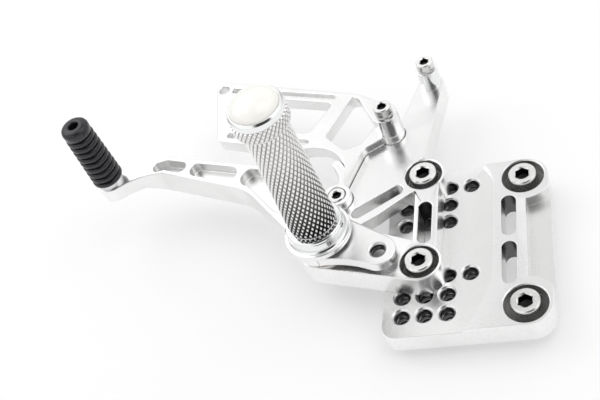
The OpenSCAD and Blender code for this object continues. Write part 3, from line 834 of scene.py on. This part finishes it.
def knurl_tree(samples: int = 10) -> bpy.types.NodeTree:
    """Builds a tree that wraps a diamond knurl round a tapered grip.

    Two sets of grooves cross at an angle. A vertex lies deeper the nearer it is to either groove,
    the second set is shallower, and the peaks are cut flat. The first and last rows dive under the
    neighbouring turned faces.

    Args:
        samples: Grid steps from one groove to the next.

    Returns:
        The tree.
    """
    made = TreeMaker.group(
        "diamond_knurl", GEOMETRY_TREE,
        {"Geometry": GEOMETRY, "Centre": ORIGIN, "Base": 0.0, "Length": 0.06, "Base Radius": 0.011,
         "Tip Radius": 0.010, "Columns": 42, "Rows": 29, "Depth": 0.0005, "Flat": 1.3, "Second Depth": 0.8,
         "Dive": 0.0008, "Material": MATERIAL},
        "Geometry", GEOMETRY,
    )
    add, subtract, multiply, smaller = made.add, made.subtract, made.multiply, made.smaller
    give = made.source.outputs
    across = add(multiply(give["Columns"], samples), 1)
    along = add(multiply(give["Rows"], samples), 1)
    grid = made.node("GeometryNodeMeshGrid",
                     {"Size X": 1.0, "Size Y": 1.0, "Vertices X": across, "Vertices Y": along})
    place = made.node("ShaderNodeSeparateXYZ", {0: made.node("GeometryNodeInputPosition").outputs[0]})
    u, v = (add(place.outputs[i], 0.5) for i in range(2))
    columns, rows = multiply(u, give["Columns"]), multiply(v, give["Rows"])
    steep = multiply(give["Flat"], 2.0)
    left, right = (
        smaller(multiply(made.math("PINGPONG", lead, 0.5), steep), 1.0)
        for lead in (add(columns, rows), add(subtract(columns, rows), give["Rows"]))
    )
    left = subtract(1.0, multiply(subtract(1.0, left), give["Second Depth"]))
    share = smaller(left, right)
    taper = multiply(v, subtract(give["Tip Radius"], give["Base Radius"]))
    radius = add(add(give["Base Radius"], taper), multiply(subtract(share, 1.0), give["Depth"]))
    last_row = made.math("DIVIDE", 0.5, multiply(give["Rows"], samples))
    ends = made.math("LESS_THAN", smaller(v, subtract(1.0, v)), last_row)
    radius = subtract(radius, multiply(ends, give["Dive"]))
    angle = multiply(u, 2 * math.pi)
    centre = made.node("ShaderNodeSeparateXYZ", {0: give["Centre"]})
    wrapped = made.node("ShaderNodeCombineXYZ", {
        0: add(centre.outputs[0], multiply(radius, made.math("COSINE", angle))),
        1: add(centre.outputs[1], multiply(radius, made.math("SINE", angle))),
        2: add(give["Base"], multiply(v, give["Length"])),
    })
    kept = made.node("GeometryNodeStoreNamedAttribute",
                     {"Geometry": grid.outputs[0], "Name": KNURL_HEIGHT, "Value": share}, data_type="FLOAT")
    moved = made.node("GeometryNodeSetPosition", {"Geometry": kept.outputs[0], "Position": wrapped.outputs[0]})
    sewn = made.node("GeometryNodeMergeByDistance", {"Geometry": moved.outputs[0], "Distance": 0.000001})
    flat = made.node("GeometryNodeSetShadeSmooth", {"Geometry": sewn.outputs[0], "Shade Smooth": False})
    real = made.node("GeometryNodeRealizeInstances", {"Geometry": flat.outputs[0]})
    dressed = made.node("GeometryNodeSetMaterial", {"Geometry": real.outputs[0], "Material": give["Material"]})
    joined = made.node("GeometryNodeJoinGeometry")
    made.feed(dressed.outputs[0], joined.inputs[0])
    made.feed(give["Geometry"], joined.inputs[0])
    return made.close(joined.outputs[0])


THREADS = thread_tree()
SCREW_ROW = row_tree()
KNURL = knurl_tree()


def wind_threads(name: str, feet: Iterable[Place], radius: float, height: float, body: Body, slot: Slot) -> None:
    """Winds a thread inside each of several holes, as one piece.

    Args:
        name: The piece's name.
        feet: Lower end of each thread in millimetres.
        radius: Radius of the holes in millimetres.
        height: Height of the threads in millimetres.
        body: The body that they ride on.
        slot: The material slot that they follow.
    """
    points = bpy.data.meshes.new(name)
    points.from_pydata([[c * MM for c in foot] for foot in feet], [], [])
    threads = add_object(name, points)
    # The threads get a dark colour: painted shade inside the hole
    grow(threads, THREADS, {"Radius": radius * MM, "Height": height * MM, "Material": MATERIALS[Finish.THREAD]})
    hand_over(threads, body, slot)


# Screws


class ScrewSize(Enum):
    """Head diameter, head height, key width and thread pitch of a cap screw, in millimetres."""

    M5 = (8.5, 5.0, 4.0, 0.8)
    M8 = (13.0, 8.0, 6.0, 1.25)
    M10 = (16.0, 10.0, 8.0, 1.5)


@dataclass
class CapScrews:
    """Socket head cap screws that share a CAD node, each with a knurled head and a hexagon socket.

    Attributes:
        node: The CAD node that they stand for.
        size: Their size.
        body: The body that they ride on.
        count: Number of screws, along +Y.
        head_up: Whether the heads point along +Z.
        points: Points round each screw.
        knurl: Depth of the head's knurl in millimetres.
        turn_steps: Rings per turn of the thread.
    """

    node: str
    size: ScrewSize
    body: Body = Body.MOUNT
    count: int = 1
    head_up: bool = True
    points: int = 96
    knurl: float = 0.22
    turn_steps: int = 6

    def hexagon(self, centre: Vector, width: float, height: float) -> Ring:
        """Makes a six-sided ring with as many points as the round ones.

        Args:
            centre: Axis point in metres.
            width: Width across flats in millimetres.
            height: Height in millimetres.

        Returns:
            The ring's points in metres.
        """
        made = []
        for i in range(self.points):
            angle = 2 * math.pi * i / self.points
            off = (angle + math.pi / 6) % (math.pi / 3) - math.pi / 6
            made.append(on_circle(centre, width / 2 / math.cos(off) * MM, angle, height))
        return made

    def knurled(self, centre: Vector, radius: float, height: float) -> Ring:
        """Makes a ring whose points step in and out, for a straight knurl.

        Args:
            centre: Axis point in metres.
            radius: Outer radius in millimetres.
            height: Height in millimetres.

        Returns:
            The ring's points in metres.
        """
        ring = round_ring(centre, radius, height, self.points)
        for point in ring[::2]:
            reach = Vector((point.x - centre.x, point.y - centre.y, 0.0))
            point -= reach.normalized() * self.knurl * MM
        return ring

    def threaded(self, centre: Vector, radius: float, height: float, pitch: float) -> Ring:
        """Makes a ring that follows a thread's crest and root at one height.

        Args:
            centre: Axis point in metres.
            radius: Crest radius in millimetres.
            height: Height in millimetres.
            pitch: The thread's pitch in millimetres.

        Returns:
            The ring's points in metres.
        """
        made = []
        for i in range(self.points):
            phase = (height / pitch - i / self.points) % 1.0
            reach = (radius - 0.55 * pitch * abs(phase * 2 - 1) ** 1.2) * MM
            made.append(on_circle(centre, reach, 2 * math.pi * i / self.points, height))
        return made

    def build(self) -> None:
        """Builds the screws from the CAD node's box."""
        head_d, head_h, key, pitch = self.size.value
        low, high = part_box(self.node)
        radius = head_d / 2
        centre = Vector(((low.x + high.x) / 2, low.y + radius * MM, 0.0))
        top = (high.z - low.z) / MM
        seat = top - head_h
        shank = float(self.size.name[1:]) / 2
        crest = shank - 0.12
        thread_foot, rise = 0.6, pitch / self.turn_steps
        steps = max(1, int((seat * 0.72 - thread_foot) / rise))
        mouth = key / 2 / math.cos(math.pi / 6) + 0.18
        floor = top - head_h * 0.55

        def plain(*ends: tuple[float, float]) -> list[Ring]:
            """Makes a level ring for each pair of radius and height."""
            return [round_ring(centre, reach, height, self.points) for reach, height in ends]

        rings = plain((shank - 0.16 * head_h ** 0.5, 0.0), (shank - 0.3, 0.5))
        rings += [self.threaded(centre, crest, thread_foot + i * pitch / self.turn_steps, pitch)
                  for i in range(steps)]
        rings += plain((crest, thread_foot + steps * pitch / self.turn_steps), (crest, seat),
                       (radius - 0.35, seat), (radius - 0.05, seat + 0.3))
        rings += [self.knurled(centre, radius, height) for height in (seat + 0.45, top - head_h * 0.16)]
        rings += plain((radius - 0.08, top - head_h * 0.13), (radius - head_h * 0.035, top - head_h * 0.05),
                       (radius - head_h * 0.09, top), (mouth + 0.12, top), (mouth, top - 0.08))
        rings += [self.hexagon(centre, key, height) for height in (top - 0.45, floor)]
        rings += plain((key * 0.3, floor - 0.5))

        mesh = loft(rings)
        inner = []
        for face in mesh.faces:
            middle = face.calc_center_median()
            across = math.hypot(middle.x - centre.x, middle.y - centre.y)
            inner.append(max(v.co.z for v in face.verts) < (top - 0.05) * MM and across < mouth * MM
                         and (floor - 0.6) * MM < middle.z < (top - 0.3) * MM)
        for vert in mesh.verts:
            vert.co.z = low.z + vert.co.z if self.head_up else high.z - vert.co.z
        bmesh.ops.recalc_face_normals(mesh, faces=mesh.faces)
        data = bpy.data.meshes.new(self.node + "_screws")
        mesh.to_mesh(data)
        mesh.free()
        data.attributes.new(RECESS_MARK, "BOOLEAN", "FACE").data.foreach_set("value", inner)
        shade(data, 24.0)
        piece = add_object(self.node + "_screws", data)
        gap = 0.0 if self.count == 1 else (high.y - low.y - head_d * MM) / (self.count - 1)
        grow(piece, SCREW_ROW, {"Count": self.count, "Step": (0.0, gap, 0.0), "Material": MATERIALS[Finish.SCREW],
                                "Socket Shade Material": MATERIALS[Finish.SOCKET_SHADE]})
        hand_over(piece, self.body, Slot.SCREW, self.node)


SCREWS = (
    CapScrews("frame_bolts", ScrewSize.M8, count=2),
    CapScrews("bracket_bolts", ScrewSize.M8, count=2),
    CapScrews("support_plate_screw", ScrewSize.M5),
    CapScrews("lower_guard_screw", ScrewSize.M5),
    CapScrews("upper_guard_screw", ScrewSize.M5),
    CapScrews("pivot_bolt", ScrewSize.M10, head_up=False),
    CapScrews("toe_pin_screw", ScrewSize.M5, Body.LEVER, head_up=False),
)


# Sub-assemblies


@dataclass
class AdapterPlate:
    """The drilled plate and the threads in its adjustment holes."""

    edge: float = 0.18
    pitch: float = 10.0
    hole_radius: float = 3.4
    first_column: float = -54.0
    first_row: float = -35.0
    thickness: float = 10.0
    # Height of a hole that its thread leaves free, at both ends together
    thread_margin: float = 1.6
    counterbore_radius: float = 9.4
    frame_bolt_y: float = 35.0
    slot_x: float = -6.6
    slot_y: float = 13.0
    # From a slot's centre to the centre of its upper end
    slot_reach: float = 7.95
    slot_radius: float = 3.3

    def holes(self) -> list[tuple[float, float]]:
        """Lists the adjustment holes' axes in millimetres."""
        grid = [(column, row) for column in range(3) for row in (0, 1, 2, 5, 6, 7)] + [(3, 2), (3, 7)]
        return [(self.first_column + column * self.pitch, self.first_row + row * self.pitch)
                for column, row in grid]

    def build(self) -> None:
        """Builds the plate with broken edges and winds its threads."""
        # Hole walls, counterbore floors and slot ends get painted shade
        bores = [Bore(x, y, self.hole_radius) for x, y in self.holes()]
        for side in (-1, 1):
            bores += [
                Bore(0.0, side * self.frame_bolt_y, self.counterbore_radius, Finish.SEAT_SHADE, True),
                # The slot's upper end gets a painted shadow on its far wall
                Bore(self.slot_x, side * self.slot_y + self.slot_reach, self.slot_radius, Finish.THREAD),
            ]
        body = machined_copy("adapter_plate_body", "adapter_plate", self.edge, Finish.PLATE, bores)
        hand_over(body, Body.MOUNT, Slot.PLATE, "adapter_plate")
        wind_threads("adapter_plate_threads", [(x, y, 0.5) for x, y in self.holes()], self.hole_radius,
                     self.thickness - self.thread_margin, Body.MOUNT, Slot.PLATE)


@dataclass
class Bracket:
    """The main bracket and the windowed support plate on it.

    Attributes:
        edge: Width of the broken edges.
        bores: The two counterbores and the upper end of the web's slot, all with painted shade.
    """

    edge: float = 0.5
    # Painted shade on both counterbore floors, and a painted shadow at the upper end of the web's slot
    bores: tuple[Bore, ...] = (
        Bore(-44.0, -15.0, 8.6, seat=True), Bore(-44.0, 35.0, 8.6, seat=True), Bore(-42.3, 15.0, 3.0),
    )

    def build(self) -> None:
        """Builds both pieces with broken edges."""
        body = machined_copy("bracket_body", "main_bracket", self.edge, Finish.BRACKET, self.bores)
        hand_over(body, Body.MOUNT, Slot.BRACKET, "main_bracket")
        support = machined_copy("support_plate_body", "support_plate", self.edge, Finish.BRACKET)
        hand_over(support, Body.MOUNT, Slot.BRACKET, "support_plate")


@dataclass
class GuardPosts:
    """The polished spacers that a heel guard would bolt to."""

    edge: float = 0.35
    bore: float = 2.7

    def build(self) -> None:
        """Turns both spacers."""
        for node in ("lower_guard_spacer", "upper_guard_spacer"):
            bottom, top, outer = extent_of(node)
            corners = [(self.bore, bottom), (outer, bottom), (outer, top), (self.bore, top),
                       (self.bore, bottom + 0.01)]
            piece = turned_piece(node + "_turned", axis_of(node), fillet_profile(corners, self.edge)[:-1],
                                 Finish.POST, hollow=True)
            hand_over(piece, Body.MOUNT, Slot.POLISHED, node)


@dataclass
class ShiftLever:
    """The cranked lever and the thread in its linkage hole."""

    edge: float = 0.5
    link: tuple[float, float] = (-60.977, -11.683)
    link_radius: float = 3.4
    # From the top of the hub down to the face of the arms
    face_drop: float = 0.55
    arm: float = 4.7
    # From the arm's underside up to the thread
    thread_foot: float = 0.4
    thread_margin: float = 1.6

    def build(self) -> None:
        """Builds the lever with broken edges and winds its thread."""
        # The linkage hole's wall gets painted shade
        body = machined_copy("shift_lever_body", "shift_lever", self.edge, Finish.LEVER,
                             [Bore(*self.link, self.link_radius)])
        hand_over(body, Body.LEVER, Slot.LEVER, "shift_lever")
        foot = extent_of("shift_lever")[1] - self.face_drop - self.arm + self.thread_foot
        wind_threads("linkage_thread", [(*self.link, foot)], self.link_radius, self.arm - self.thread_margin,
                     Body.LEVER, Slot.LEVER)


@dataclass
class ToePiece:
    """The ribbed rubber on the lever's pin."""

    ribs: int = 9
    tip: float = 6.0
    rib_height: float = 1.2
    # Share of the pitch and share of the rib's height, for each point of a rib
    rib_shape: tuple[tuple[float, float], ...] = (
        (0.14, 0.0), (0.20, 0.55), (0.30, 0.9), (0.44, 1.0), (0.62, 0.97), (0.78, 0.86), (0.86, 0.45), (0.91, 0.0),
    )
    tip_radius: float = 7.2
    bore: float = 4.0
    hole: float = 2.6
    hole_depth: float = 4.0

    def profile(self, bottom: float, top: float, foot_radius: float) -> list[tuple[float, float]]:
        """Draws the rubber's half section.

        Args:
            bottom: Lower end in millimetres.
            top: Upper end in millimetres.
            foot_radius: Outer radius at the lower end in millimetres.

        Returns:
            Radius and height of each point.
        """
        pitch = (top - bottom - self.tip) / self.ribs
        slope = (self.tip_radius - foot_radius) / (top - bottom)
        groove = foot_radius - self.rib_height
        made = [(0.0, bottom), (self.bore, bottom), (groove - 0.4, bottom), (groove, bottom + 0.3)]
        for rib in range(self.ribs):
            foot = bottom + pitch * rib
            for share, rise in self.rib_shape:
                height = foot + pitch * share
                made.append((groove + slope * (height - bottom) + self.rib_height * rise, height))
        base, outer, hole, floor = top - self.tip + 0.3, self.tip_radius, self.hole, top - self.hole_depth
        return made + [
            (outer - 0.5, base), (outer - 0.1, base + 0.35), (outer, top - 2.2), (outer - 0.35, top - 1.2),
            (outer - 1.1, top - 0.45), (outer - 2.2, top - 0.08), (outer - 3.1, top), (hole + 0.5, top),
            (hole + 0.1, top - 0.25), (hole, top - 0.8), (hole, floor), (0.0, floor),
        ]

    def build(self) -> None:
        """Builds the rubber, and dresses the pin."""
        rubber = turned_piece("toe_rubber_ribbed", TOE_AXIS, self.profile(*extent_of("toe_rubber")),
                              Finish.RUBBER)
        shade(rubber.data, 50.0)
        hand_over(rubber, Body.LEVER, Slot.RUBBER, "toe_rubber")
        dress_node("toe_pin", Finish.GROUND)


@dataclass
class Footpeg:
    """Collar, knurled barrel and domed cap on the pivot's axis."""

    points: int = 128
    collar_bore: float = 5.1
    collar_flange: float = 2.5
    neck: float = 13.0
    ring: float = 1.8
    knurl_depth: float = 0.7
    # Grooves of each set, round the grip and along it
    columns: int = 30
    rows: int = 15
    flange: float = 7.0
    flange_radius: float = 12.6
    band_columns: int = 36
    band_depth: float = 0.56
    rim: float = 3.5
    base_radius: float = 11.3
    tip_radius: float = 10.0
    thread_radius: float = 4.3
    spigot_radius: float = 6.4
    spigot: float = 8.0
    cap_radius: float = 10.6
    # Depth of the cap's edge in the barrel
    cap_sunk: float = 1.5

    def collar(self) -> None:
        """Turns the collar."""
        bottom, top, outer = extent_of("peg_collar")
        bore, neck, step = self.collar_bore, self.neck, bottom + self.collar_flange
        corners = [
            (bore, bottom), (outer - 0.2, bottom), (outer, bottom + 0.25), (outer, step), (neck + 1.0, step + 0.2),
            (neck + 0.2, step + 1.0), (neck, top - 0.35), (neck - 0.5, top), (bore, top), (bore, bottom + 0.01),
        ]
        piece = turned_piece("peg_collar_turned", PIVOT_AXIS, fillet_profile(corners, 0.5)[:-1], Finish.TURNED,
                             self.points, True)
        hand_over(piece, Body.MOUNT, Slot.POLISHED, "peg_collar")

    def barrel(self) -> None:
        """Turns the barrel and wraps its grip and its end flange in a diamond knurl."""
        base, top, ring_r = extent_of("footpeg_barrel")
        ring_top, rim_foot = base + self.ring, top - self.rim
        flange_foot = rim_foot - self.flange
        core, rim_r = self.flange_radius - 0.7, self.flange_radius - 0.5
        seat_r, seat, thread_r = self.cap_radius + 0.05, top - self.cap_sunk, self.thread_radius
        corners = [
            (thread_r, base), (ring_r - 0.5, base), (ring_r, base + 0.45), (ring_r, ring_top - 0.5),
            (ring_r - 0.6, ring_top), (self.base_radius - 0.9, ring_top + 0.1),
            (self.tip_radius - 0.9, flange_foot - 0.1), (self.flange_radius - 0.9, flange_foot),
            (core, flange_foot + 0.3), (core, rim_foot - 0.1), (rim_r, rim_foot), (rim_r, top - 0.9),
            (rim_r - 0.9, top), (seat_r, top), (seat_r, seat), (self.spigot_radius + 0.1, seat),
            (self.spigot_radius + 0.1, base + 40.0), (thread_r, base + 28.0), (thread_r, base + 0.01),
        ]
        piece = turned_piece("footpeg_barrel_turned", PIVOT_AXIS, fillet_profile(corners, 0.35)[:-1],
                             Finish.TURNED, self.points, True)
        for foot, length, radii, columns, rows, depth in (
            (ring_top + 0.5, flange_foot - ring_top - 1.3, (self.base_radius, self.tip_radius), self.columns,
             self.rows, self.knurl_depth),
            (flange_foot + 0.45, self.flange - 0.8, (self.flange_radius,) * 2, self.band_columns, 2,
             self.band_depth),
        ):
            grow(piece, KNURL, {
                "Centre": PIVOT_AXIS, "Base": foot * MM, "Length": length * MM, "Base Radius": radii[0] * MM,
                "Tip Radius": radii[1] * MM, "Columns": columns, "Rows": rows, "Depth": depth * MM,
                "Material": MATERIALS[Finish.KNURL],
            })
        hand_over(piece, Body.MOUNT, Slot.KNURLED, "footpeg_barrel")

    def cap(self) -> None:
        """Turns the domed cap."""
        bottom, top, _ = extent_of("footpeg_cap")
        seat = bottom + self.spigot
        spring = seat + self.cap_sunk
        profile = [(self.spigot_radius, bottom), (self.spigot_radius, seat), (self.cap_radius, seat)]
        for angle in (math.radians(5 * step) for step in range(19)):
            profile.append((self.cap_radius * math.cos(angle), spring + (top - spring) * math.sin(angle)))
        piece = turned_piece("footpeg_cap_moulded", PIVOT_AXIS, profile, Finish.CREAM, self.points)
        hand_over(piece, Body.MOUNT, Slot.PLASTIC, "footpeg_cap")

    def build(self) -> None:
        """Builds the collar, the barrel and the cap."""
        self.collar()
        self.barrel()
        self.cap()


@dataclass
class PivotStack:
    """The plain pieces that stay as the CAD has them."""

    def build(self) -> None:
        """Dresses the sleeve, the washer and the bushes."""
        for node, finish in (("pivot_sleeve", Finish.GROUND), ("pivot_bolt_washer", Finish.SCREW),
                             ("inner_bush", Finish.BRONZE), ("outer_bush", Finish.BRONZE)):
            dress_node(node, finish)


# Studio


@dataclass
class Studio:
    """Pale floor, soft light and the camera at the photograph's viewing angle.

    Attributes:
        floor_height: Height of the floor in millimetres, where the frame bolts' tips stand.
        floor_half: Half the floor's width in metres.
        floor_tone: The floor's grey.
        floor_glow: Light that the floor gives off, which keeps it white under the part.
        camera_place: Camera position in metres.
        camera_turn: Camera rotation in degrees.
        lens: Focal length in millimetres.
        film: Width of the camera's frame in millimetres.
        toward_camera: Direction from the part to the camera, where the room is dark.
        room: Where the dark of the room begins and is full, as cosines, then the light in both places.
        walls: Where the walls darken to the floor, as heights of a direction, then the light in both places.
        ceiling: Where the ceiling begins and is full, then the light in both places.
        ambient: Light of the surround on matt surfaces.
        aim: Point that the soft boxes face, in metres.
        boxes: Name, position, width and power of each soft box.
    """

    floor_height: float = -6.0
    floor_half: float = 4.0
    floor_tone: float = 0.62
    floor_glow: float = 0.33
    camera_place: Place = (0.058732, -0.295830, 0.387737)
    camera_turn: Place = (41.5026, 18.7164, 6.6463)
    lens: float = 64.87
    film: float = 36.0
    toward_camera: Place = (0.3154, -0.6304, 0.7093)
    room: tuple[float, ...] = (0.84, 0.94, 1.0, 0.06)
    walls: tuple[float, ...] = (0.02, 0.45, 0.45, 1.0)
    ceiling: tuple[float, ...] = (0.71, 0.82, 1.10, 0.52)
    ambient: float = 0.82
    aim: Place = (-0.07, 0.02, 0.0)
    boxes: tuple[tuple[str, Place, float, float], ...] = (
        ("left_softbox", (-0.7, 0.35, 0.9), 0.8, 2.4),
        ("top_softbox", (0.35, 0.1, 1.1), 0.9, 2.6),
    )

    def camera(self) -> None:
        """Places the camera."""
        data = bpy.data.cameras.new("photo_camera")
        data.lens = self.lens
        data.sensor_width = self.film
        data.clip_start = 0.01
        data.clip_end = 20.0
        view = add_object("photo_camera", data)
        view.location = self.camera_place
        view.rotation_euler = [math.radians(a) for a in self.camera_turn]
        bpy.context.scene.camera = view

    def floor(self) -> None:
        """Lays the white floor."""
        mesh = bpy.data.meshes.new("floor")
        corners = [(x * self.floor_half, y * self.floor_half, self.floor_height * MM)
                   for x, y in ((-1, -1), (1, -1), (1, 1), (-1, 1))]
        mesh.from_pydata(corners, [], [(0, 1, 2, 3)])
        material, made, shader = start_material("white_floor")
        made.fill(shader, {
            "Base Color": (self.floor_tone, self.floor_tone, self.floor_tone, 1.0), "Emission Color": WHITE,
            "Emission Strength": self.floor_glow, "Roughness": 0.9, "Specular IOR Level": 0.1,
        })
        mesh.materials.append(material)
        add_object("floor", mesh)

    def world(self) -> None:
        """Lights the scene from a plain white surround, with the dark side of the room at the camera."""
        world = bpy.data.worlds.new("white_studio")
        world.use_nodes = True
        world.node_tree.nodes.clear()
        bpy.context.scene.world = world
        made = TreeMaker(world.node_tree)
        toward = made.node("ShaderNodeTexCoord").outputs["Generated"]
        height = made.node("ShaderNodeSeparateXYZ", {0: toward}).outputs[2]
        upper = made.multiply(made.remap(height, *self.walls), made.remap(height, *self.ceiling))
        facing = made.node("ShaderNodeVectorMath", {0: toward, 1: self.toward_camera}, operation="DOT_PRODUCT")
        mirrored = made.multiply(upper, made.remap(facing.outputs["Value"], *self.room))
        path = made.node("ShaderNodeLightPath").outputs
        seen, gloss, light = (
            made.node("ShaderNodeBackground", {"Color": WHITE, "Strength": strength}).outputs[0]
            for strength in (1.0, mirrored, self.ambient)
        )
        inner = made.node("ShaderNodeMixShader", {0: path["Is Glossy Ray"], 1: light, 2: gloss})
        outer = made.node("ShaderNodeMixShader", {0: path["Is Camera Ray"], 1: inner.outputs[0], 2: seen})
        made.node("ShaderNodeOutputWorld", {"Surface": outer.outputs[0]})

    def lamps(self) -> None:
        """Hangs two soft boxes."""
        for name, place, size, power in self.boxes:
            data = bpy.data.lights.new(name, "AREA")
            data.shape = "SQUARE"
            data.size = size
            data.energy = power
            lamp = add_object(name, data)
            lamp.location = place
            lamp.rotation_euler = (Vector(self.aim) - Vector(place)).to_track_quat("-Z", "Y").to_euler()

    def build(self) -> None:
        """Sets up the camera, the floor and the light."""
        bpy.context.scene.view_settings.view_transform = "Standard"
        self.camera()
        self.floor()
        self.world()
        self.lamps()


def main() -> None:
    """Builds the studio and every sub-assembly."""
    logging.basicConfig(level=logging.INFO, format="%(name)s %(message)s")
    for part in (Studio(), AdapterPlate(), Bracket(), GuardPosts(), PivotStack(), ShiftLever(), ToePiece(),
                 Footpeg(), *SCREWS):
        LOG.info("building %s", type(part).__name__)
        part.build()


if __name__ == "__main__":
    main()
